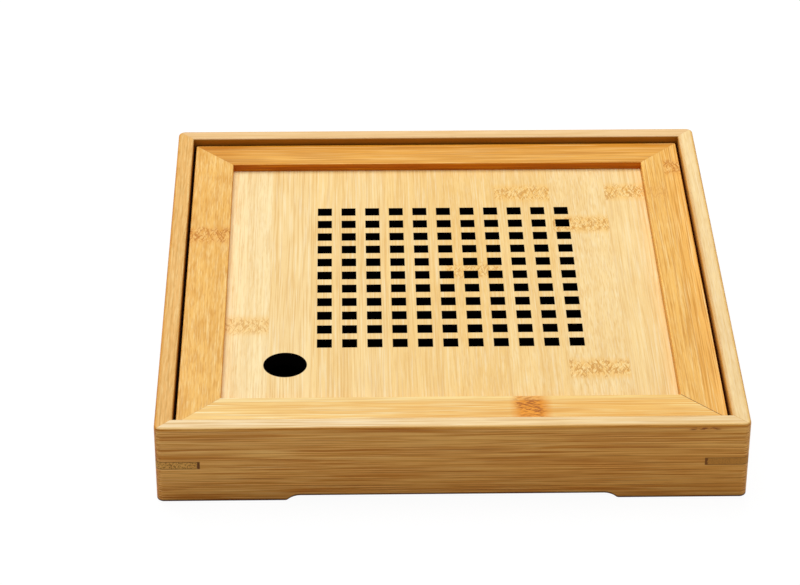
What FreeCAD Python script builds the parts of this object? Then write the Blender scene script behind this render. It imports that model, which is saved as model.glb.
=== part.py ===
"""A small square tea tray of bamboo, 200 x 200 x 30 mm, with a lift-off grille lid.

A box of four mitred walls stands on feet cut into their lower edges.  A spline is
glued across each corner.  A base board sits in grooves in the walls.  A rabbet
inside the walls carries the flange of a loose drip tray, and the lid lies on that
flange: four mitred rails round a tongued panel with a grid of square holes and a
round finger hole.  The origin is at the middle of the box, on the surface that it
stands on, with +Z up and the front wall towards -Y.
"""

import FreeCAD, Part
import math
import os
import re

import Sketcher

# Driving sizes, in millimetres unless the name says otherwise
SIZES = {
    # Box: outer size, wall below the rabbet, wall above it, rounding of corners and top arrises
    "tray_width": 200,
    "tray_depth": 200,
    "tray_height": 30,
    "wall_thickness": 11.5,
    "rim_thickness": 6,
    "corner_radius": 2.5,
    "arris_radius": 0.8,
    # Feet: length of each foot from the corner, height of the arch between them, and its ends
    "foot_length": 44,
    "foot_height": 2,
    "foot_cove_run": 4.6,
    "foot_toe_radius": 1.5,
    "foot_arris_radius": 0.5,
    # Corner splines: how far each shows along a wall, and its thickness
    "spline_leg": 15,
    "spline_thickness": 3,
    # Base board, and the groove that holds it
    "board_thickness": 4,
    "board_lift": 3.5,
    "board_groove_depth": 4,
    "board_clearance": 0.25,
    # Drip tray: a moulded tub that hangs by its flange
    "flange_thickness": 1.5,
    "flange_clearance": 0.5,
    "flange_corner_radius": 3,
    "tub_wall": 1.5,
    "tub_clearance": 0.5,
    "tub_floor_gap": 0.5,
    "tub_corner_radius": 8,
    "tub_floor_radius": 2,
    "tub_draft_angle": 3,
    # Lid frame: gap to the walls, depth below the rim, and section of the rails
    "lid_clearance": 1,
    "lid_recess": 2.5,
    "rail_width": 14.7,
    "rail_thickness": 8.5,
    "lid_corner_radius": 0.8,
    "lid_arris_radius": 0.4,
    "lid_spline_leg": 12,
    "lid_spline_thickness": 2.1,
    # Lid panel: depth below the rails, and the tongue that goes into them
    "panel_recess": 2.9,
    "panel_thickness": 5,
    "tongue_length": 5,
    "tongue_thickness": 2.5,
    "tongue_clearance": 0.25,
    # Grille of square holes, and its place from the middle of the lid
    "grille_columns": 11,
    "grille_rows": 11,
    "hole_size": 5.1,
    "hole_pitch": 8.88,
    "grille_shift_right": 1.2,
    "grille_shift_back": 3.2,
    # Finger hole, and the distance of its centre from the left and front rails
    "finger_hole_diameter": 15,
    "finger_hole_from_left": 21.5,
    "finger_hole_from_front": 23.9,
    # Length by which a cut runs past the solid that it cuts
    "cut_overrun": 1,
}

# Heights and half widths that follow from the sizes, written as expressions
RAIL_TOP = "(tray_height - lid_recess)"
RAIL_BOTTOM = f"({RAIL_TOP} - rail_thickness)"
LEDGE_TOP = f"({RAIL_BOTTOM} - flange_thickness)"
BOARD_TOP = "(board_lift + board_thickness)"
TUB_BOTTOM = f"({BOARD_TOP} + tub_floor_gap)"
PANEL_TOP = f"({RAIL_TOP} - panel_recess)"
PANEL_BOTTOM = f"({PANEL_TOP} - panel_thickness)"
TONGUE_BOTTOM = f"({PANEL_BOTTOM} + (panel_thickness - tongue_thickness) / 2)"
TONGUE_TOP = f"({TONGUE_BOTTOM} + tongue_thickness)"

HALF_WIDTH = "(tray_width / 2)"
HALF_DEPTH = "(tray_depth / 2)"
LID_INSET = "(rim_thickness + lid_clearance)"
LID_HALF_WIDTH = f"({HALF_WIDTH} - {LID_INSET})"
LID_HALF_DEPTH = f"({HALF_DEPTH} - {LID_INSET})"
PANEL_HALF_WIDTH = f"({LID_HALF_WIDTH} - rail_width)"
PANEL_HALF_DEPTH = f"({LID_HALF_DEPTH} - rail_width)"

# Sides and corners in order round the tray: front, right, back, left
SIDES = ("front", "right", "back", "left")
CORNERS = ("front_right", "back_right", "back_left", "front_left")
CORNER_SIGNS = ((1, -1), (1, 1), (-1, 1), (-1, -1))
QUARTER_TURN = 90

# Share of a corner's radius that its rounding takes off each side at the mitre
CUT_OFF_SHARE = "(1 - sqrt(1 / 2))"

# Distance under which two positions count as the same
TOLERANCE = 0.001

document = FreeCAD.newDocument("TeaTray")
sheet = document.addObject("Spreadsheet::Sheet", "Sizes")
for row, (alias, size) in enumerate(SIZES.items(), start=1):
    sheet.set(f"A{row}", alias)
    sheet.set(f"B{row}", str(size))
    sheet.setAlias(f"B{row}", alias)
document.recompute()


def in_sheet(expression):
    """Write each size in an expression as a cell of the sheet; every size has an underscore."""
    return re.sub(r"\b[a-z]+(?:_[a-z]+)+\b", r"Sizes.\g<0>", expression)


def bind(item, **expressions):
    """Bind properties of an object to expressions in the sizes."""
    for name, expression in expressions.items():
        item.setExpression(name, in_sheet(expression))


def worked_out(item, expression):
    """Give the present value of an expression, as a number."""
    result = item.evalExpression(in_sheet(expression))
    return float(getattr(result, "Value", result))


def add_body(label, quarter_turns=0):
    """Start a piece, turned about the tray's upright axis by whole quarter turns."""
    body = document.addObject("PartDesign::Body", label)
    body.Label = label
    upright = FreeCAD.Vector(0, 0, 1)
    body.Placement = FreeCAD.Placement(
        FreeCAD.Vector(), FreeCAD.Rotation(upright, QUARTER_TURN * quarter_turns)
    )
    return body


def origin_feature(body, role):
    """Find one of a body's own origin planes or axes."""
    return next(item for item in body.Origin.OriginFeatures if item.Role == role)


def add_sketch(body, name, plane="XY_Plane", height="0"):
    """Start a sketch on one of a body's origin planes, raised along the plane's normal."""
    sketch = body.newObject("Sketcher::SketchObject", f"{body.Name}_{name}")
    sketch.AttachmentSupport = [(origin_feature(body, plane), "")]
    sketch.MapMode = "FlatFace"
    sketch.setExpression("AttachmentOffset.Base.z", in_sheet(height))
    return sketch


def hold(sketch, kind, geometry, point, expression):
    """Hold a point of a sketch at a distance from the sketch's origin."""
    distance = worked_out(sketch, expression)
    index = sketch.addConstraint(Sketcher.Constraint(kind, -1, 1, geometry, point, distance))
    sketch.setExpression(f"Constraints[{index}]", in_sheet(expression))


def draw_outline(sketch, points):
    """Draw a closed outline.

    Each point is (x, y), reached by a straight line from the one before it, or
    (x, y, centre x, centre y), reached by an arc that turns left about its centre.
    The first point is the start, and a line closes the outline unless the last
    point is the first one again.
    """
    def place(point):
        return FreeCAD.Vector(worked_out(sketch, point[0]), worked_out(sketch, point[1]), 0)

    def angle(spoke):
        return math.atan2(spoke.y, spoke.x)

    closes_itself = points[-1][:2] == points[0][:2]
    steps = points[1:] if closes_itself else points[1:] + [points[0][:2]]
    here = place(points[0])
    ends = []
    for step in steps:
        there = place(step)
        if len(step) == 2:
            index = sketch.addGeometry(Part.LineSegment(here, there))
            held = ("DistanceX", "DistanceY")
        else:
            centre = place(step[2:])
            circle = Part.Circle(centre, FreeCAD.Vector(0, 0, 1), (there - centre).Length)
            arc = Part.ArcOfCircle(circle, angle(here - centre), angle(there - centre))
            index = sketch.addGeometry(arc)
            hold(sketch, "DistanceX", index, 3, step[2])
            hold(sketch, "DistanceY", index, 3, step[3])
            # The radius is already held, so one coordinate fixes the end: the one that the arc crosses
            spoke = there - centre
            held = ("DistanceY",) if abs(spoke.x) > abs(spoke.y) else ("DistanceX",)
        ends.append((index, held))
        here = there
    for number, (index, held) in enumerate(ends):
        next_index = ends[(number + 1) % len(ends)][0]
        sketch.addConstraint(Sketcher.Constraint("Coincident", index, 2, next_index, 1))
        for kind in held:
            hold(sketch, kind, index, 2, steps[number][("DistanceX", "DistanceY").index(kind)])


def draw_rounded_rectangle(sketch, half_width, half_depth, radius):
    """Draw a rectangle about the sketch's origin with a quarter arc at each corner."""
    x, y, r = half_width, half_depth, radius
    draw_outline(sketch, [
        (f"-({x} - {r})", f"-{y}"),
        (f"{x} - {r}", f"-{y}"),
        (x, f"-({y} - {r})", f"{x} - {r}", f"-({y} - {r})"),
        (x, f"{y} - {r}"),
        (f"{x} - {r}", y, f"{x} - {r}", f"{y} - {r}"),
        (f"-({x} - {r})", y),
        (f"-{x}", f"{y} - {r}", f"-({x} - {r})", f"{y} - {r}"),
        (f"-{x}", f"-({y} - {r})"),
        (f"-({x} - {r})", f"-{y}", f"-({x} - {r})", f"-({y} - {r})"),
    ])


def add_pad(body, name, sketch, length, symmetric=False, downward=False, taper="0"):
    """Pad a sketch upward, downward or evenly both ways from its plane."""
    pad = body.newObject("PartDesign::Pad", f"{body.Name}_{name}")
    pad.Profile = sketch
    pad.SideType = "Symmetric" if symmetric else "One side"
    pad.Reversed = downward
    bind(pad, Length=length, TaperAngle=taper)
    document.recompute()


def add_pocket(body, name, sketch, depth=None, symmetric=True, taper="0"):
    """Cut a sketch out of a body: right through, or to a depth, and see that it cuts."""
    volume_before = body.Shape.Volume
    pocket = body.newObject("PartDesign::Pocket", f"{body.Name}_{name}")
    pocket.Profile = sketch
    pocket.SideType = "Symmetric" if symmetric else "One side"
    if depth is None:
        pocket.Type = "ThroughAll"
    else:
        bind(pocket, Length=depth, TaperAngle=taper)
    document.recompute()
    if not body.Shape.Volume < volume_before:
        raise RuntimeError(f"{pocket.Name} cuts nothing")
    return pocket


def round_edges(body, name, radius, wanted):
    """Round the edges of a body that pass a test, in the body's own frame."""
    base = body.Tip
    edges = [f"Edge{number}" for number, edge in enumerate(base.Shape.Edges, start=1) if wanted(edge)]
    fillet = body.newObject("PartDesign::Fillet", f"{body.Name}_{name}")
    fillet.Base = (base, edges)
    bind(fillet, Radius=radius)
    document.recompute()


def lies_at(edge, height):
    """Tell whether an edge lies level at a height."""
    return all(math.isclose(vertex.Z, height, abs_tol=TOLERANCE) for vertex in edge.Vertexes)


def is_mitre(edge):
    """Tell whether an edge runs along a mitre, as far in x as in y."""
    run = edge.Vertexes[-1].Point - edge.Vertexes[0].Point
    return math.isclose(abs(run.x), abs(run.y), abs_tol=TOLERANCE)


def add_mitred_bar(label, turns, length, reach, width, section, corner, kerf):
    """Make a bar that is moulded to a section, mitred at both ends and slotted for splines.

    It is drawn as the front bar, with its outer side `reach` in front of the tray's
    middle, then turned to its own side.  The mitre leaves half of the rounded corner
    on each bar, and the kerf is a straight saw cut across the corner.
    """
    body = add_body(label, turns)
    end = f"({length} / 2)"
    leg, thickness, height = kerf

    profile = add_sketch(body, "profile", "YZ_Plane")
    draw_outline(profile, section)
    add_pad(body, "stock", profile, length, symmetric=True)

    waste = add_sketch(body, "mitre_line")
    draw_outline(waste, [
        (f"{end} - {corner}", f"-{reach}"),
        (
            f"{end} - {corner} * {CUT_OFF_SHARE}", f"-({reach} - {corner} * {CUT_OFF_SHARE})",
            f"{end} - {corner}", f"-({reach} - {corner})",
        ),
        (f"{end} - {width} - cut_overrun", f"-({reach} - {width} - cut_overrun)"),
        (f"{end} + cut_overrun", f"-({reach} - {width} - cut_overrun)"),
        (f"{end} + cut_overrun", f"-({reach} + cut_overrun)"),
        (f"{end} - {corner}", f"-({reach} + cut_overrun)"),
    ])
    mitre = add_pocket(body, "mitre", waste)

    saw_cut = add_sketch(body, "saw_cut", height=height)
    draw_outline(saw_cut, [
        (f"{end} - {leg} - cut_overrun", f"-({reach} + cut_overrun)"),
        (f"{end} + cut_overrun", f"-({reach} + cut_overrun)"),
        (f"{end} + cut_overrun", f"-({reach} - {leg} - cut_overrun)"),
    ])
    slot = add_pocket(body, "kerf", saw_cut, depth=thickness)

    other_end = body.newObject("PartDesign::Mirrored", f"{body.Name}_other_end")
    other_end.Originals = [mitre, slot]
    other_end.MirrorPlane = (origin_feature(body, "YZ_Plane"), [""])
    body.Tip = other_end
    document.recompute()
    return body


def add_spline(label, corner_number, half_width, half_depth, height, leg, thickness, corner):
    """Make the flat triangle that fills the kerf across one corner, flush with both sides."""
    body = add_body(label, corner_number)
    across, along = CORNER_SIGNS[corner_number]
    body.setExpression("Placement.Base.x", in_sheet(f"{across} * {half_width}"))
    body.setExpression("Placement.Base.y", in_sheet(f"{along} * {half_depth}"))
    body.setExpression("Placement.Base.z", in_sheet(height))
    outline = add_sketch(body, "outline")
    draw_outline(outline, [
        (f"-{leg}", "0"),
        (f"-{corner}", "0"),
        ("0", corner, f"-{corner}", corner),
        ("0", leg),
    ])
    add_pad(body, "slip", outline, thickness, symmetric=True)


def add_wall(side, turns, length, reach):
    """Make one wall of the box: rabbeted for the lid, grooved for the board, arched below."""
    inner = f"-({reach} - wall_thickness)"
    groove = f"-({reach} - wall_thickness + board_groove_depth)"
    rim = f"-({reach} - rim_thickness)"
    section = [
        (f"-{reach}", "0"),
        (inner, "0"),
        (inner, "board_lift"),
        (groove, "board_lift"),
        (groove, BOARD_TOP),
        (inner, BOARD_TOP),
        (inner, LEDGE_TOP),
        (rim, LEDGE_TOP),
        (rim, "tray_height"),
        (f"-{reach}", "tray_height"),
    ]
    kerf = ("spline_leg", "spline_thickness", "tray_height / 2")
    body = add_mitred_bar(
        f"frame_{side}", turns, length, reach, "wall_thickness", section, "corner_radius", kerf
    )

    # The arch between the feet: a flat top that comes down to each foot in a cove
    foot_end = f"({length} / 2 - foot_length)"
    cove_end = f"({foot_end} - foot_cove_run)"
    cove_radius = "((foot_height ^ 2 + foot_cove_run ^ 2) / (2 * foot_height))"
    arch = add_sketch(body, "arch_line", "XZ_Plane")
    draw_outline(arch, [
        (f"-{foot_end}", "-cut_overrun"),
        (foot_end, "-cut_overrun"),
        (foot_end, "0"),
        (cove_end, "foot_height", cove_end, f"foot_height - {cove_radius}"),
        (f"-{cove_end}", "foot_height"),
        (f"-{foot_end}", "0", f"-{cove_end}", f"foot_height - {cove_radius}"),
    ])
    add_pocket(body, "arch", arch)

    foot_end_now = worked_out(body, foot_end)
    round_edges(body, "toes", "foot_toe_radius", lambda edge: lies_at(edge, 0) and all(
        math.isclose(abs(vertex.X), foot_end_now, abs_tol=TOLERANCE) for vertex in edge.Vertexes
    ))
    top = worked_out(body, "tray_height")
    round_edges(
        body, "upper_arris", "arris_radius", lambda edge: lies_at(edge, top) and not is_mitre(edge)
    )

    # The lower outer arris runs on round the corner, down the coves and over the feet
    highest = worked_out(body, "foot_height") + TOLERANCE
    innermost = worked_out(body, f"corner_radius - {reach}")
    round_edges(body, "lower_arris", "foot_arris_radius", lambda edge: all(
        vertex.Z < highest and vertex.Y < innermost for vertex in edge.Vertexes
    ))


def add_base_board():
    """Make the board that closes the box from below, held in the four walls' grooves."""
    body = add_body("base_board")
    inset = "(wall_thickness - board_groove_depth + board_clearance)"
    x = f"({HALF_WIDTH} - {inset})"
    y = f"({HALF_DEPTH} - {inset})"
    outline = add_sketch(body, "outline", height="board_lift")
    draw_outline(outline, [(f"-{x}", f"-{y}"), (x, f"-{y}"), (x, y), (f"-{x}", y)])
    add_pad(body, "board", outline, "board_thickness")


def add_drip_tray():
    """Make the loose tub that catches the tea: thin drafted walls below a flat flange."""
    body = add_body("drip_tray")
    tub_inset = "(wall_thickness + tub_clearance)"
    tub = add_sketch(body, "tub_outline", height=LEDGE_TOP)
    draw_rounded_rectangle(
        tub, f"({HALF_WIDTH} - {tub_inset})", f"({HALF_DEPTH} - {tub_inset})", "tub_corner_radius"
    )
    add_pad(
        body, "tub", tub, f"{LEDGE_TOP} - {TUB_BOTTOM}", downward=True, taper="-tub_draft_angle"
    )

    flange_inset = "(rim_thickness + flange_clearance)"
    flange = add_sketch(body, "flange_outline", height=LEDGE_TOP)
    draw_rounded_rectangle(
        flange, f"({HALF_WIDTH} - {flange_inset})", f"({HALF_DEPTH} - {flange_inset})",
        "flange_corner_radius",
    )
    add_pad(body, "flange", flange, "flange_thickness")

    cavity_inset = f"({tub_inset} + tub_wall)"
    cavity = add_sketch(body, "cavity_outline", height=RAIL_BOTTOM)
    draw_rounded_rectangle(
        cavity, f"({HALF_WIDTH} - {cavity_inset})", f"({HALF_DEPTH} - {cavity_inset})",
        "(tub_corner_radius - tub_wall)",
    )
    floor = f"({TUB_BOTTOM} + tub_wall)"
    add_pocket(
        body, "cavity", cavity, f"{RAIL_BOTTOM} - {floor}", symmetric=False,
        taper="-tub_draft_angle",
    )

    floor_now = worked_out(body, floor)
    bottom_now = worked_out(body, TUB_BOTTOM)
    round_edges(body, "inside", "tub_floor_radius", lambda edge: lies_at(edge, floor_now))
    round_edges(
        body, "outside", "tub_floor_radius + tub_wall", lambda edge: lies_at(edge, bottom_now)
    )


def add_lid_rail(side, turns, length, reach):
    """Make one rail of the lid, grooved along its inner side for the panel's tongue."""
    inner = f"-({reach} - rail_width)"
    groove = f"-({reach} - rail_width + tongue_length)"
    section = [
        (f"-{reach}", RAIL_BOTTOM),
        (inner, RAIL_BOTTOM),
        (inner, TONGUE_BOTTOM),
        (groove, TONGUE_BOTTOM),
        (groove, TONGUE_TOP),
        (inner, TONGUE_TOP),
        (inner, RAIL_TOP),
        (f"-{reach}", RAIL_TOP),
    ]
    kerf = ("lid_spline_leg", "lid_spline_thickness", f"{RAIL_BOTTOM} + rail_thickness / 2")
    body = add_mitred_bar(
        f"lid_rail_{side}", turns, length, reach, "rail_width", section, "lid_corner_radius", kerf
    )
    top = worked_out(body, RAIL_TOP)
    round_edges(
        body, "arris", "lid_arris_radius", lambda edge: lies_at(edge, top) and not is_mitre(edge)
    )


def add_lid_panel():
    """Make the panel of the lid: a thick field with a thinner tongue all round, and its holes."""
    body = add_body("lid_panel")
    x, y = PANEL_HALF_WIDTH, PANEL_HALF_DEPTH
    field = add_sketch(body, "field_outline", height=PANEL_BOTTOM)
    draw_outline(field, [(f"-{x}", f"-{y}"), (x, f"-{y}"), (x, y), (f"-{x}", y)])
    add_pad(body, "field", field, "panel_thickness")

    x = f"({x} + tongue_length - tongue_clearance)"
    y = f"({y} + tongue_length - tongue_clearance)"
    tongue = add_sketch(body, "tongue_outline", height=TONGUE_BOTTOM)
    draw_outline(tongue, [(f"-{x}", f"-{y}"), (x, f"-{y}"), (x, y), (f"-{x}", y)])
    add_pad(body, "tongue", tongue, "tongue_thickness")

    finger_hole = add_sketch(body, "finger_hole_outline")
    circle = Part.Circle(FreeCAD.Vector(), FreeCAD.Vector(0, 0, 1), worked_out(
        finger_hole, "finger_hole_diameter / 2"
    ))
    index = finger_hole.addGeometry(circle)
    hold(finger_hole, "DistanceX", index, 3, f"-({PANEL_HALF_WIDTH} - finger_hole_from_left)")
    hold(finger_hole, "DistanceY", index, 3, f"-({PANEL_HALF_DEPTH} - finger_hole_from_front)")
    diameter = finger_hole.addConstraint(Sketcher.Constraint("Diameter", index, 2 * circle.Radius))
    finger_hole.setExpression(f"Constraints[{diameter}]", in_sheet("finger_hole_diameter"))
    add_pocket(body, "finger_hole", finger_hole)

    # One square hole at the front left of the grille, then the grid of its copies
    left = "(grille_shift_right - hole_pitch * (grille_columns - 1) / 2 - hole_size / 2)"
    front = "(grille_shift_back - hole_pitch * (grille_rows - 1) / 2 - hole_size / 2)"
    square = add_sketch(body, "hole_outline")
    draw_outline(square, [
        (left, front),
        (f"{left} + hole_size", front),
        (f"{left} + hole_size", f"{front} + hole_size"),
        (left, f"{front} + hole_size"),
    ])
    hole = add_pocket(body, "hole", square)
    grille = body.newObject("PartDesign::LinearPattern", "grille")
    grille.Originals = [hole]
    grille.Direction = (origin_feature(body, "X_Axis"), [""])
    grille.Direction2 = (origin_feature(body, "Y_Axis"), [""])
    bind(
        grille,
        Length="hole_pitch * (grille_columns - 1)", Occurrences="grille_columns",
        Length2="hole_pitch * (grille_rows - 1)", Occurrences2="grille_rows",
    )
    body.Tip = grille
    document.recompute()


for turns, side in enumerate(SIDES):
    faces_depth = side in ("front", "back")
    length, reach = ("tray_width", HALF_DEPTH) if faces_depth else ("tray_depth", HALF_WIDTH)
    add_wall(side, turns, length, reach)
    lid_reach = LID_HALF_DEPTH if faces_depth else LID_HALF_WIDTH
    lid_length = f"(2 * {LID_HALF_WIDTH if faces_depth else LID_HALF_DEPTH})"
    add_lid_rail(side, turns, lid_length, lid_reach)

for number, corner in enumerate(CORNERS):
    add_spline(
        f"spline_{corner}", number, HALF_WIDTH, HALF_DEPTH, "tray_height / 2",
        "spline_leg", "spline_thickness", "corner_radius",
    )
    add_spline(
        f"lid_spline_{corner}", number, LID_HALF_WIDTH, LID_HALF_DEPTH,
        f"{RAIL_BOTTOM} + rail_thickness / 2",
        "lid_spline_leg", "lid_spline_thickness", "lid_corner_radius",
    )

add_base_board()
add_drip_tray()
add_lid_panel()

document.recompute()
for item in document.Objects:
    if {"Invalid", "Error"} & set(item.State):
        raise RuntimeError(f"{item.Name} did not recompute: {item.State}")
pieces = [item for item in document.Objects if item.TypeId == "PartDesign::Body"]
for piece in pieces:
    if piece.Shape.isNull() or not piece.Shape.isValid() or len(piece.Shape.Solids) != 1:
        raise RuntimeError(f"{piece.Label} is not one sound solid")

os.makedirs("parts", exist_ok=True)
for piece in pieces:
    piece.Shape.exportStep(os.path.join("parts", f"{piece.Label}.step"))
    box = piece.Shape.optimalBoundingBox(False)
    print(
        f"{piece.Label}: {piece.Shape.Volume:.0f} mm3, "
        f"{box.XLength:.2f} x {box.YLength:.2f} x {box.ZLength:.2f} mm, "
        f"from z {box.ZMin:.2f} to {box.ZMax:.2f}"
    )
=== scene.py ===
import math

import bpy
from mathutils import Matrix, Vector


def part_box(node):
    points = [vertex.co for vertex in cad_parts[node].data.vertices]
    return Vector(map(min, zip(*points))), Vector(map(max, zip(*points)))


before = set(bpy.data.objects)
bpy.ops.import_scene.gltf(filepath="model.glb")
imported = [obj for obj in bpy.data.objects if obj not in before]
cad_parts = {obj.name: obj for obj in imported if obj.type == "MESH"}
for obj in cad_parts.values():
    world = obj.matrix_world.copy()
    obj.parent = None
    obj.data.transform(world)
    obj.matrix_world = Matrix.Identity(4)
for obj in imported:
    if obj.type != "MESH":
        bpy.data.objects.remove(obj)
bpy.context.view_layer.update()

# The four walls of the box
# Bars of laminated bamboo with a rabbet for the lid, an arch below and mitred ends.  They were
# planed, sanded and glued up into a box.  A thin satin lacquer gives them a soft sheen without
# mirror highlights, and hides none of the grain.
MM = 0.001
MM_IN_A_METRE = 1000.0
SIDES = ("front", "right", "back", "left")

# Satin lacquer on bamboo, and how deep the dark fibres lie
BAMBOO_IOR = 1.5
BAMBOO_SPECULAR = 0.15
LACQUER_ROUGHNESS = 0.42
LACQUER_COAT = 0.04
LACQUER_COAT_ROUGHNESS = 0.28
FIBRE_RELIEF = 0.03 * MM
FIBRE_RELIEF_STRENGTH = 0.30

# What each mark in bamboo measures: its length along the fibres and its width in mm, then
# the noise levels at which it begins and is full.  A real bundle of fibres is about 0.3 mm
# wide, too fine to show, so most marks along the fibres are drawn up to twice as wide.
BAND = (150.0, 4.5, 0.40, 0.60)
FIBRE = (36.0, 0.55, 0.48, 0.62)
FLECK = (5.5, 0.42, 0.50, 0.64)
GLEAM = (28.0, 0.60, 0.52, 0.66)
GLINT = (7.0, 0.55, 0.50, 0.64)
CLOUD = (50.0, 18.0, 0.38, 0.62)
WANDER = (80.0, 26.0, 0.0, 1.0)
BLOTCH = (13.0, 4.5, 0.48, 0.64)
STREAK = (44.0, 0.30, 0.50, 0.58)
VEIN = (46.0, 0.55, 0.61, 0.67)
KNUCKLE_EDGE = (9.0, 2.6, 0.0, 1.0)
KNUCKLE_STROKE = (3.4, 0.75, 0.53, 0.63)

# A knuckle, in mm from its middle: how far its edges run in and out, where its marks begin and
# are full, and where its shade begins and is full
KNUCKLE_RAGGED = 3.5
KNUCKLE_MARKS = (5.6, 3.4)
KNUCKLE_SHADE = (7.5, 3.4)

# How far its strokes lean from the fibres, in radians, and how much they curl
DARK_STROKE_LEANS = (0.30, -0.35)
PALE_STROKE_LEANS = (0.10, -0.60)
KNUCKLE_BEND = 0.8

# How far along a bar a knuckle can be placed, and a place where none shows
KNUCKLE_REACH = 130.0
NO_KNUCKLE = -KNUCKLE_REACH

# How far the figure of the cane jumps from strip to strip and from wall to wall
SEED_STEP = 0.618
SEED_REACH = 400.0
WALL_SEED_STEP = 37.0

# Half the width of a glued seam between two strips, in mm
SEAM_HALF_WIDTH = 0.25

# Strips of cane in each bar, from its lowest to its highest edge in mm: start, end, tone
# from pale to deep, share of flecks against long fibres, strength of its knuckles, and
# their places along it
WALL_STRIPS = {
    # Lower strips of the front wall are deeper, so its face darkens downwards: partly painted shade
    "front": [
        (0.0, 5.2, 0.95, 0.1, 0.0, NO_KNUCKLE), (5.2, 17.0, 0.45, 0.2, 0.0, NO_KNUCKLE),
        (17.0, 27.8, 0.10, 0.1, 0.0, NO_KNUCKLE), (27.8, 28.9, 0.10, 0.1, 1.0, 84.5),
        (28.9, 30.5, 0.30, 0.1, 0.0, NO_KNUCKLE),
    ],
    "right": [(0.0, 12.0, 0.45, 0.2, 0.8, -35.0), (12.0, 30.5, 0.35, 0.5, 0.0, NO_KNUCKLE)],
    "back": [(0.0, 17.0, 0.50, 0.3, 0.8, 22.0), (17.0, 30.5, 0.30, 0.1, 0.0, NO_KNUCKLE)],
    "left": [(0.0, 14.0, 0.55, 0.2, 0.8, 48.0), (14.0, 30.5, 0.50, 0.5, 0.0, NO_KNUCKLE)],
}

# The hues of the bamboo, and how strongly each kind of mark shows in it; its fibres wander by
# so many mm to either side
WALL_WOOD = {
    "pale": "#fbdea6", "deep": "#f0c680", "fibre": "#cb9440", "gleam": "#fff0d0",
    "knuckle": "#8f5a1e", "shade": "#d09540", "stroke": "#f8d8a0", "seam": "#c89a50",
    # The last two hues are painted shade in the gap round the lid: a tan, and a dark brown lower
    # down
    "glue": "#ece0c8", "gap_upper_shade": "#cca447", "gap_deep_shade": "#7c4a22",
    "fibre share": 0.55, "gleam share": 0.70, "band share": 0.15, "blotch share": 0.10,
    "knuckle share": 0.75, "stroke share": 0.70, "shade share": 0.40, "seam share": 0.30,
    "wander": 0.6,
}
WALL_WOODS = {
    "front": dict(WALL_WOOD, pale="#ffe8ba", deep="#f3cf92", knuckle="#8a4a10"),
    "right": dict(
        WALL_WOOD, pale="#ffe4aa", deep="#fbd898", gap_upper_shade="#ffecb4", gap_deep_shade="#7c3a10",
        **{"gleam share": 0.35, "fibre share": 0.3}
    ),
    "back": dict(
        WALL_WOOD, pale="#f5d29c", deep="#efc184", gleam="#fadcac",
        **{"gleam share": 0.45, "fibre share": 0.3}
    ),
    "left": dict(
        WALL_WOOD, pale="#f4c478", deep="#eaae5c", fibre="#c08a34", gleam="#fbd894",
        gap_deep_shade="#5e2c0c",
    ),
}

# Where along the front wall its colour deepens, and its tint there.  Here and below, a look
# begins at the first value of a pair of limits and is full at the second, and distances are in
# mm from the middle of the box, unless a comment says otherwise.
FRONT_WALL_DEEPENS = (-80.0, 70.0, "#fdf6e4")

# The outer faces: their tint, partly painted shade, their streaks and veins, how far out they lie,
# how level a face still is where it counts as upright, and how little the streaks change with depth
OUTER_FACE_SHADE_TINT = "#fedb9c"
OUTER_STREAK_TINT = "#d4ae54"
OUTER_STREAK_SHARE = 0.85
OUTER_VEIN_TINT = "#b88c40"
OUTER_VEIN_SHARE = 0.40
OUTER_HALF = (96.0, 97.0)
LEVEL_SHARE = (0.995, 0.5)
STREAK_SQUEEZE = (1.0, 0.1, 1.0)

# The upper arris and the lowest edge: how far out and how high they lie, and their tints, the one
# of the lowest edge being painted shade.  The lowest edge follows the arch: where it rises beside a
# foot, and how high it gets.
ARRIS_REACH = (98.8, 99.3)
ARRIS_HEIGHT = (28.9, 29.3)
ARRIS_TINT = "#f8ebc8"
FOOT_COVE = (51.4, 56.0)
ARCH_HEIGHT = 2.0
LOW_EDGE = (1.00, 0.60)
LOW_EDGE_REACH = (99.2, 99.4)
LOW_EDGE_SHADE_TINT = "#5c4234"

# The glue in the mitres: half its width, where it darkens towards the front right corner, and
# how strongly it shows before and after that
GLUE_HALF_WIDTH = (0.28, 0.06)
GLUE_FROM = (40.0, 150.0)
GLUE_SHARES = (0.15, 1.0)

# The sRGB curve: a straight part for the darkest colours, and a power law for the others
HIGHEST_LEVEL = 255
SRGB_STRAIGHT_TO = 0.04045
SRGB_STRAIGHT_SLOPE = 12.92
SRGB_OFFSET = 0.055
SRGB_POWER = 2.4

# The sockets of a Mix node that mixes colours
MIX_FACTOR, MIX_FROM, MIX_TO, MIXED = 0, 6, 7, 2


def linear(hex_colour):
    """Turn an sRGB hex colour into the linear values that a shader takes."""
    channels = [int(hex_colour[place:place + 2], 16) / HIGHEST_LEVEL for place in (1, 3, 5)]
    return [
        channel / SRGB_STRAIGHT_SLOPE if channel <= SRGB_STRAIGHT_TO
        else ((channel + SRGB_OFFSET) / (1.0 + SRGB_OFFSET)) ** SRGB_POWER
        for channel in channels
    ] + [1.0]


def add_node(material, kind, links, **settings):
    """Add one node with its settings, feed its sockets, and give back its outputs."""
    node = material.node_tree.nodes.new(f"ShaderNode{kind}")
    for name, value in settings.items():
        setattr(node, name, value)
    for socket, value in links.items():
        if isinstance(value, bpy.types.NodeSocket):
            material.node_tree.links.new(value, node.inputs[socket])
        else:
            node.inputs[socket].default_value = value
    return node.outputs


def new_material(name):
    """Start a node material that holds nothing yet."""
    material = bpy.data.materials.new(name)
    material.use_nodes = True
    material.node_tree.nodes.clear()
    return material


def place_in_mm(material):
    """Where each point of a piece lies, in mm."""
    place = add_node(material, "TexCoord", {})["Object"]
    return add_node(
        material, "VectorMath", {0: place, "Scale": MM_IN_A_METRE}, operation="SCALE"
    )[0]


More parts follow.
